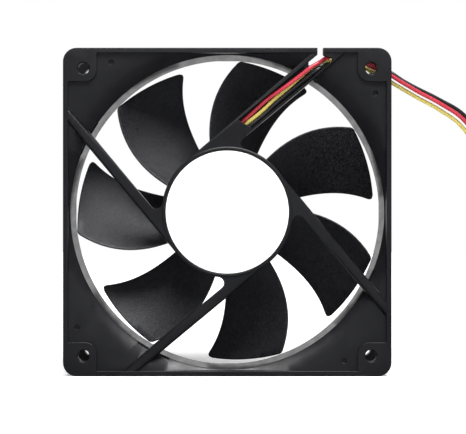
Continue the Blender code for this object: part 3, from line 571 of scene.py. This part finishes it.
def tube(name, points, radius, slot):
    """A round wire along its points, with closed ends."""
    curve = bpy.data.curves.new(name, "CURVE")
    curve.dimensions = "3D"
    curve.bevel_depth = radius
    curve.bevel_resolution = 4
    curve.use_fill_caps = True
    spline = curve.splines.new("POLY")
    spline.points.add(len(points) - 1)
    for point, place in zip(spline.points, points):
        point.co = (*place, 1)
    spline.use_smooth = True
    return add(name, curve, slot)


def along_strut(s, d, turn=0):
    """World X and Z of a point s along a strut and d from the axis. Each turn is a quarter clockwise."""
    out = STRUT_ANGLE - turn * math.pi / 2
    return (s * math.cos(out) - d * math.sin(out), s * math.sin(out) + d * math.cos(out))


# Frame

def strut_outline(outside, inside, turn):
    """A strut's plan: tangent to the motor base outside, with a fillet inside, and cut off in the rim."""
    hub = BASE_RADIUS - BASE_WALL / 2
    centre_d = inside - STRUT_FILLET
    centre_s = math.sqrt((BASE_RADIUS + STRUT_FILLET) ** 2 - centre_d**2)
    touch = math.degrees(math.atan2(centre_d, centre_s))
    fillet = arc(STRUT_FILLET, 90, 180 + touch, 12, (centre_s, centre_d))
    inner = arc(hub, touch, 90, 12)
    reach = SIZE / 2 - 0.6 * MM
    slope = abs(math.cos(STRUT_ANGLE))
    ends = [((reach - d * math.sin(STRUT_ANGLE)) / slope, d) for d in (outside, inside)]
    plan = [(0.0, STRUT_OUTSIDE), ends[0], ends[1], *fillet, *inner]
    return [along_strut(s, d, turn) for s, d in plan]


def is_long_corner(edge, height):
    """Whether an edge is a long corner between two faces, at this local height."""
    at_height = all(abs(height - vertex.co.z) < 0.01 * MM for vertex in edge.verts)
    return at_height and edge.calc_length() > 20 * MM and edge.calc_face_angle(0.0) > 0.5


def round_top(strut, width, segments):
    """Rounds the two long edges of a strut that face the exhaust side."""
    solid = bmesh.new()
    solid.from_mesh(strut.data)
    top = max(vertex.co.z for vertex in solid.verts)
    long = [edge for edge in solid.edges if is_long_corner(edge, top)]
    bmesh.ops.bevel(solid, geom=long, offset=width, segments=segments, profile=0.5, affect="EDGES")
    solid.to_mesh(strut.data)
    solid.free()
    return strut


def struts():
    """Three plain struts and the wider one that carries the wires."""
    made = []
    for turn in (0, 2, 3):
        outline = strut_outline(STRUT_OUTSIDE, STRUT_INSIDE, turn)
        strut = slab(f"strut_{turn}", [outline], STRUT_TOP, STRUT_BACK)
        made.append(round_top(strut, STRUT_ROUNDING, 6))
    outline = strut_outline(WIRE_STRUT_OUTSIDE, WIRE_STRUT_INSIDE, 1)
    wide = slab("wire_strut", [outline], STRUT_TOP, STRUT_BACK)
    made.append(round_top(wide, WIRE_STRUT_ROUNDING, 3))
    return made


def motor_base():
    """The cup behind the label, with a boss for the bearing tube."""
    inside = BASE_RADIUS - BASE_WALL
    boss, boss_end = TUBE_RADIUS + 1.0 * MM, -6.5 * MM
    seat = TUBE_RADIUS + 0.1 * MM
    hole = 4.6 * MM
    lip, chamfer = LABEL_RADIUS + 0.24 * MM, 0.15 * MM
    edge = 0.6 * MM
    rounding = [(BASE_RADIUS - edge + x, EXHAUST + edge - y) for x, y in arc(edge, 90, 0, 5)]
    return turned("motor_base", [
        (hole, LABEL_FLOOR), (lip, LABEL_FLOOR), (lip, EXHAUST + chamfer), (lip + chamfer, EXHAUST),
        *rounding, (BASE_RADIUS, BASE_END),
        (inside, BASE_END), (inside, PLATE_INSIDE), (boss, PLATE_INSIDE), (boss, boss_end),
        (seat, boss_end), (seat, PLATE_INSIDE), (hole, PLATE_INSIDE),
    ])


def corner_recess():
    """The shallow recess inside the rim, which leaves a raised pad at each corner."""
    corner = [(RIM_INSIDE, PAD_INSIDE)]
    middle = PAD_INSIDE + PAD_ROUNDING
    corner += arc(PAD_ROUNDING, 270, 180, 10, (middle, middle))
    corner.append((PAD_INSIDE, RIM_INSIDE))
    outline = [point for turn in range(4) for point in rotated(corner, 90 * turn)]
    return slab("corner_recess", [outline], EXHAUST - OVER, EXHAUST + RECESS)


def duct_opening():
    """The round way through, flared at both ends and kept inside the rim."""
    slope = (FLARE_RADIUS - BORE_RADIUS) / (FLARE_DEPTH - RECESS)
    opening = turned("duct_opening", [
        (0, EXHAUST - OVER), (FLARE_RADIUS + slope * (RECESS + OVER), EXHAUST - OVER),
        (BORE_RADIUS + 0.25 * MM, EXHAUST + FLARE_DEPTH - 0.15 * MM),
        (BORE_RADIUS, EXHAUST + FLARE_DEPTH + 0.2 * MM),
        (BORE_RADIUS, INTAKE - FLARE_DEPTH), (INTAKE_RADIUS, INTAKE + OVER), (0, INTAKE + OVER),
    ], steps=192)
    inside = 2 * RIM_INSIDE - 0.1 * MM
    limit = box("rim_limit", (inside, DEPTH + 10 * MM, inside), (0, 0, 0))
    return combine(opening, "INTERSECT", [limit])


def strut_notches():
    """The relief in the flare beside each strut's foot."""
    made = []
    for turn in range(4):
        start, end = (angle - 90 * turn for angle in NOTCH_ANGLES)
        outline = arc(NOTCH_RADIUS, start, end, 10) + arc(BORE_RADIUS - OVER, end, start, 6)
        made.append(slab(f"notch_{turn}", [outline], EXHAUST - OVER, EXHAUST + NOTCH_DEPTH))
    return made


def dimples():
    """Shallow ejector marks in the recess, one near each pad."""
    return [
        slab(f"dimple_{number}", [circle(DIMPLE_RADIUS, 20, (x * MM, z * MM))],
             EXHAUST - OVER, EXHAUST + RECESS + DIMPLE_DEPTH)
        for number, (x, z) in enumerate(DIMPLES)
    ]


def between_flanges():
    """The open space around the duct, which leaves two flanges."""
    beyond = SIZE + 10 * MM
    outlines = [rounded_rectangle(beyond, beyond, 1 * MM, 1), circle(DUCT_RADIUS, 192)]
    return slab("between_flanges", outlines, EXHAUST + FLANGE, INTAKE - FLANGE)


def screw_holes():
    """Through holes with a small countersink on both faces."""
    made = []
    wide = HOLE_RADIUS + COUNTERSINK
    for turn in range(4):
        x, z = rotated([(HOLE_OFFSET, HOLE_OFFSET)], 90 * turn)[0]
        hole = turned(f"screw_hole_{turn}", [
            (0, EXHAUST - OVER), (wide, EXHAUST - OVER), (wide, EXHAUST),
            (HOLE_RADIUS, EXHAUST + COUNTERSINK), (HOLE_RADIUS, INTAKE - COUNTERSINK),
            (wide, INTAKE), (wide, INTAKE + OVER), (0, INTAKE + OVER),
        ], steps=40)
        hole.data.transform(Matrix.Translation((x, 0, z)))
        made.append(hole)
    return made


def wire_ways():
    """The channel along the wire strut, its way into the motor base and the slit in the flanges."""
    sides = [along_strut(CHANNEL_START, CHANNEL_OUTSIDE, 1), along_strut(62 * MM, CHANNEL_OUTSIDE, 1)]
    back = [along_strut(65 * MM, CHANNEL_INSIDE, 1), along_strut(CHANNEL_START + 2 * MM, CHANNEL_INSIDE, 1)]
    channel = slab("channel", [sides + in_mm(CHANNEL_CORNER) + back], EXHAUST - OVER, CHANNEL_FLOOR)
    start, end = 8 * MM, 27 * MM
    way = [along_strut(s, d, 1) for s, d in (
        (start, CHANNEL_OUTSIDE), (end, CHANNEL_OUTSIDE), (end, CHANNEL_INSIDE), (start, 14 * MM),
    )]
    tunnel = slab("tunnel", [way], PLATE_INSIDE - 0.2 * MM, -8.55 * MM)
    past = 0.5 * MM
    slit = slab("slit", [in_mm(SLIT)], EXHAUST - OVER, EXHAUST + FLANGE + past)
    rear = slab("rear_slit", [in_mm(REAR_SLIT)], INTAKE - FLANGE - past, INTAKE + OVER)
    return [channel, tunnel, slit, rear]


def fan_frame():
    """The whole moulding: two flanges, the duct, the struts and the motor base."""
    outline = rounded_rectangle(SIZE, SIZE, CORNER_RADIUS, 12)
    made = slab("fan_frame", [outline], EXHAUST, INTAKE, "frame", bevel=EDGE_ROUNDING)
    applied(made)
    combine(made, "DIFFERENCE", [duct_opening(), corner_recess(), *strut_notches(), *dimples()])
    combine(made, "UNION", [motor_base(), *struts()])
    combine(made, "DIFFERENCE", [between_flanges(), *screw_holes(), *wire_ways()])
    smooth_shading(made.data)
    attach(made, "housing")
    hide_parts("frame")


# Impeller

def between(root, middle, tip, radius):
    """A quadratic through three (radius, angle) pairs."""
    total = 0.0
    for own in (root, middle, tip):
        others = [pair for pair in (root, middle, tip) if pair is not own]
        weight = math.prod((radius - other[0]) / (own[0] - other[0]) for other in others)
        total += own[1] * weight
    return total


def leading_angle(radius):
    return between((26.1 * MM, 11.6), (41.8 * MM, 10.1), (54.3 * MM, 5.2), radius)


def trailing_angle(radius):
    return between((25.3 * MM, 52.9), (40.5 * MM, 45.8), (55.7 * MM, 34.1), radius)


def blade_point(radius, chord, turn):
    """A point on a blade's middle surface: chord runs from 0, the leading edge, to 1, the trailing edge."""
    start, end = leading_angle(radius), trailing_angle(radius)
    bend = 2 * chord * (1 - chord)
    angle = start * (1 - chord) ** 2 + end * chord**2 + bend * (start + 0.60 * (end - start))
    y = BLADE_LEADING * (1 - chord) ** 2 + BLADE_TRAILING * chord**2
    y += bend * (BLADE_LEADING + 0.36 * (BLADE_TRAILING - BLADE_LEADING))
    angle = math.radians(angle) + turn
    return Vector((radius * math.cos(angle), y, radius * math.sin(angle)))


def quarter_round(share):
    """The height of a quarter circle at this share of its width, both up to 1."""
    return math.sqrt(1 - (1 - min(share, 1.0)) ** 2)


def tip_at(chord):
    """The blade's outer edge, rounded off at both corners."""
    front = TIP_ROUNDING * (1 - quarter_round(chord / TIP_LEADING))
    back = TRAILING_ROUNDING * (1 - quarter_round((1 - chord) / TIP_TRAILING))
    return TIP_RADIUS - front - back


def half_thickness(chord, span):
    """Half the blade's thickness: round edges, thinner towards the trailing edge and the tip."""
    ends = min(quarter_round(chord / EDGE_LEADING), quarter_round((1 - chord) / EDGE_TRAILING))
    body = 1.0 - 0.25 * chord - 0.1 * span
    return BLADE_HALF * body * max(0.12, ends)


def blade_normal(radius, chord, turn):
    """Square to the blade's middle surface, towards the exhaust side."""
    step = 0.01
    near, far = max(chord - step, 0.0), min(chord + step, 1.0)
    along = blade_point(radius, far, turn) - blade_point(radius, near, turn)
    outward = blade_point(radius + step * MM, chord, turn) - blade_point(radius - step * MM, chord, turn)
    normal = along.cross(outward).normalized()
    return normal if normal.y < 0 else -normal


def blade(number):
    """One blade as a closed shell: a loop around the section, repeated along the span."""
    turn = number * math.tau / BLADES
    root = HUB_RADIUS - HUB_WALL / 2
    loops = []
    for row in range(BLADE_ROWS + 1):
        span = min(row / (BLADE_ROWS - 1), 1.0)
        thin = 0.45 if row == BLADE_ROWS else 1.0
        short = 0.25 * MM if row == BLADE_ROWS - 1 else 0.0
        upper, lower = [], []
        for chord in CHORDS:
            radius = root + (tip_at(chord) - short - root) * span
            middle = blade_point(radius, chord, turn)
            offset = blade_normal(radius, chord, turn) * half_thickness(chord, span) * thin
            upper.append(middle + offset)
            lower.append(middle - offset)
        loops.append(upper + lower[::-1])
    around = len(loops[0])
    points = [point for loop in loops for point in loop]
    faces = [
        (row * around + i, row * around + (i + 1) % around,
         (row + 1) * around + (i + 1) % around, (row + 1) * around + i)
        for row in range(BLADE_ROWS) for i in range(around)
    ]
    for row in (0, BLADE_ROWS):
        first, last = row * around, row * around + around - 1
        faces += [(first + i, first + i + 1, last - i - 1, last - i) for i in range(len(CHORDS) - 1)]
    mesh = bpy.data.meshes.new(f"blade_{number}")
    mesh.from_pydata(points, [], faces)
    solid = bmesh.new()
    solid.from_mesh(mesh)
    bmesh.ops.recalc_face_normals(solid, faces=solid.faces)
    solid.to_mesh(mesh)
    solid.free()
    return add(f"blade_{number}", mesh)


def fan_impeller():
    """The hub and its seven blades, in one moulding."""
    inside = HUB_RADIUS - HUB_WALL
    crown = [(HUB_RADIUS - HUB_ROUNDING + x, HUB_FACE - HUB_ROUNDING + y)
             for x, y in arc(HUB_ROUNDING, 90, 0, 10)]
    chamfer = 0.2 * MM
    hub = turned("fan_impeller", [
        (0, HUB_FACE), *crown, (HUB_RADIUS, HUB_END + chamfer), (HUB_RADIUS - chamfer, HUB_END),
        (inside, HUB_END), (inside, HUB_CEILING), (0, HUB_CEILING),
    ], "impeller")
    combine(hub, "UNION", [blade(number) for number in range(BLADES)])
    smooth_shading(hub.data, 40)
    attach(hub, "rotor")
    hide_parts("impeller")


def label():
    """The blank film on the motor base, with a slightly rounded edge."""
    low, high = LABEL_FLOOR - 0.25 * MM, LABEL_FLOOR - 0.05 * MM
    made = turned("label_film", [
        (0, low), (LABEL_RADIUS - 0.1 * MM, low), (LABEL_RADIUS, low + 0.08 * MM),
        (LABEL_RADIUS, high), (0, high),
    ], "label", steps=160)
    smooth_shading(made.data)
    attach(made, "housing")
    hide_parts("label")


# Wires

def coil_turns(name):
    """Points of one wire's turns on the floor, from the left of the coil to its front."""
    count = round(COIL_TURNS * POINTS_A_TURN)
    radius = COIL_RADII[name]
    points = []
    for i in range(count + 1):
        turn = math.pi + COIL_TURNS * math.tau * i / count
        place = COIL_CENTRE / MM + Vector((radius * math.cos(turn), radius * math.sin(turn), 0))
        place.z = COIL_LOW + (COIL_HIGH - COIL_LOW) * i / count
        points.append(place)
    return points


def channel_wires():
    """The part of each wire that the frame holds, up to where it comes free."""
    for name in WIRE_NAMES:
        inner = [along_strut(s * MM, d * MM, 1) for s, d, _ in CHANNEL_ROUTES[name]]
        route = [(x, y * MM, z) for (x, z), (_, _, y) in zip(inner, CHANNEL_ROUTES[name])]
        route += [Vector(p) * MM for p in (*POCKET_ROUTES[name], LEAD_ROUTES[name][0])]
        wire = tube(f"{name}_wire_in_frame", smooth_route(route), WIRE_RADIUS, name)
        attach(wire, "housing")
        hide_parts(f"{name}_channel_wire")


def lead_wires():
    """Each free wire as one cord: down to the floor, round the coil and into the plug."""
    for name in WIRE_NAMES:
        route = [*LEAD_ROUTES[name], *coil_turns(name), *TAIL_ROUTES[name]]
        points = smooth_route([Vector(p) * MM for p in route])
        wire = tube(f"{name}_lead", points, WIRE_RADIUS, name)
        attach(wire, "housing")
        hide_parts(f"{name}_lead_wire", f"{name}_tail_wire")
    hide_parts("lead_coil")


def cable_tie():
    """The band round the coil with its head and a short cut end."""
    low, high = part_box("lead_tie")
    middle = (low + high) / 2
    size = high - low
    place = Matrix.Translation(middle) @ facing_exhaust()
    walls = 0.7 * MM
    outside = rounded_rectangle(size.x, size.z, 1.8 * MM)
    inside = rounded_rectangle(size.x - walls, size.z - walls, 1.5 * MM)
    band = extruded("cable_tie", [outside, inside], place, 2.2 * MM, "tie", bevel=0.1 * MM)
    applied(band)
    head = box("tie_head", (2.0 * MM, 3.4 * MM, 3.2 * MM), (high.x + 0.6 * MM, middle.y, middle.z),
               bevel=0.3 * MM)
    tail = box("tie_tail", (3.4 * MM, 2.0 * MM, 0.6 * MM),
               (high.x + 1.6 * MM, middle.y, middle.z + 0.7 * MM), bevel=0.12 * MM)
    combine(band, "UNION", [head, tail])
    smooth_shading(band.data)
    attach(band, "housing")
    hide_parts("lead_tie")
    return band


def plug():
    """The plug's housing: keyed ribs on top, three cavities and the windows for the terminals' lugs."""
    low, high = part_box("plug_housing")
    high.z = low.z + 5.8 * MM
    middle = (low + high) / 2
    size = high - low
    made = box("plug_body", size, middle, "plug", bevel=0.35 * MM)
    applied(made)
    ribs = [
        box(f"key_{side}", (10 * MM, 0.9 * MM, 1.4 * MM),
            middle + Vector((0.8 * MM, side * 2.2 * MM, size.z / 2)), bevel=0.15 * MM)
        for side in (-1, 1)
    ]
    combine(made, "UNION", ribs)
    cuts = []
    for number in (-1, 0, 1):
        across = Vector((0, number * 2.54 * MM, 0))
        cuts.append(box(f"cavity_{number}", (size.x + 4 * MM, 1.8 * MM, 2.0 * MM), middle + across))
        window = middle + across + Vector((-1.5 * MM, 0, -size.z / 2))
        cuts.append(box(f"window_{number}", (2.2 * MM, 1.3 * MM, size.z / 2), window))
    combine(made, "DIFFERENCE", cuts)
    smooth_shading(made.data)
    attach(made, "housing")
    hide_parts("plug_housing")
    return made


def dress_frame_nodes():
    """Gives every CAD node that stays in view its finished material."""
    for part in frame["record"]["subparts"]:
        slot = part["material_slot"]
        if slot in FINISHES:
            mesh = frame["nodes"][part["node"]].data
            mesh.materials.clear()
            mesh.materials.append(FINISHES[slot])


# Studio

def camera():
    data = bpy.data.cameras.new("Camera")
    data.lens = LENS
    data.sensor_width = SENSOR
    made = bpy.data.objects.new("Camera", data)
    bpy.context.scene.collection.objects.link(made)
    made.location = CAMERA_PLACE
    made.rotation_euler = (math.pi / 2, 0, 0)
    bpy.context.scene.camera = made


def softbox(name, place, width, height, power, colour=(1.0, 1.0, 1.0)):
    """A soft rectangular light that looks at the fan's middle."""
    data = bpy.data.lights.new(name, "AREA")
    data.shape = "RECTANGLE"
    data.size, data.size_y = width, height
    data.energy = power
    data.color = colour
    made = bpy.data.objects.new(name, data)
    bpy.context.scene.collection.objects.link(made)
    made.location = place
    made.rotation_euler = (-Vector(place)).to_track_quat("-Z", "Y").to_euler()


def surroundings():
    """White all round for the camera; for the object, bright behind it and dim in front."""
    world = bpy.data.worlds.new("Studio")
    world.use_nodes = True
    tree = world.node_tree
    seen = tree.nodes["Background"]
    lit = tree.nodes.new("ShaderNodeBackground")
    for background in (seen, lit):
        background.inputs["Strength"].default_value = 1.0
        background.inputs["Color"].default_value = (1, 1, 1, 1)
    place = tree.nodes.new("ShaderNodeTexCoord")
    apart = tree.nodes.new("ShaderNodeSeparateXYZ")
    amount = tree.nodes.new("ShaderNodeMapRange")
    for end, value in (("From Min", 0.3), ("From Max", 0.85), ("To Min", 0.05), ("To Max", 1.0)):
        amount.inputs[end].default_value = value
    path = tree.nodes.new("ShaderNodeLightPath")
    mix = tree.nodes.new("ShaderNodeMixShader")
    tree.links.new(place.outputs["Generated"], apart.inputs["Vector"])
    tree.links.new(apart.outputs["Y"], amount.inputs["Value"])
    tree.links.new(amount.outputs["Result"], lit.inputs["Strength"])
    tree.links.new(path.outputs["Is Camera Ray"], mix.inputs["Fac"])
    tree.links.new(lit.outputs["Background"], mix.inputs[1])
    tree.links.new(seen.outputs["Background"], mix.inputs[2])
    tree.links.new(mix.outputs["Shader"], tree.nodes["World Output"].inputs["Surface"])
    bpy.context.scene.world = world


def floor():
    """A pale floor that glows with painted light, weakly near the fan and brighter with distance so that it
    fades into the white, and in no reflection.
    """
    made = Surface("floor_paper", roughness=0.9)
    made.colours(made.noise(3.0), (0.90, 0.90, 0.90), (0.93, 0.93, 0.93))
    made.shader.inputs["Emission Color"].default_value = (1, 1, 1, 1)
    # Painted light: the floor's emission grows with distance from its middle, and near the fan it lightens
    # the floor's shade.
    away = made.add("ShaderNodeVectorMath", {0: made.place}, operation="LENGTH").outputs["Value"]
    glow = made.ranged(away, 0.35, 1.1, 0.2, 0.8)
    made.tree.links.new(glow, made.shader.inputs["Emission Strength"])
    mesh = bpy.data.meshes.new("floor")
    solid = bmesh.new()
    bmesh.ops.create_circle(solid, cap_ends=True, segments=96, radius=FLOOR_RADIUS)
    solid.to_mesh(mesh)
    solid.free()
    mesh.materials.append(made.material)
    plane = bpy.data.objects.new("floor", mesh)
    plane.location = (0.0, 0.0, FLOOR)
    plane.visible_glossy = False
    bpy.context.scene.collection.objects.link(plane)


def studio():
    camera()
    surroundings()
    floor()
    softbox("Top", (0.15, -0.55, 1.05), 1.0, 0.5, 30.0)
    softbox("Front", (0.15, -1.6, 0.25), 1.8, 1.6, 3.4, (0.94, 0.97, 1.0))
    bpy.context.scene.view_settings.view_transform = "Standard"


LOOKS = collection("Looks")
FINISHES = materials()
dress_frame_nodes()
fan_frame()
fan_impeller()
label()
channel_wires()
carried = [cable_tie(), plug()]
lead_wires()
studio()
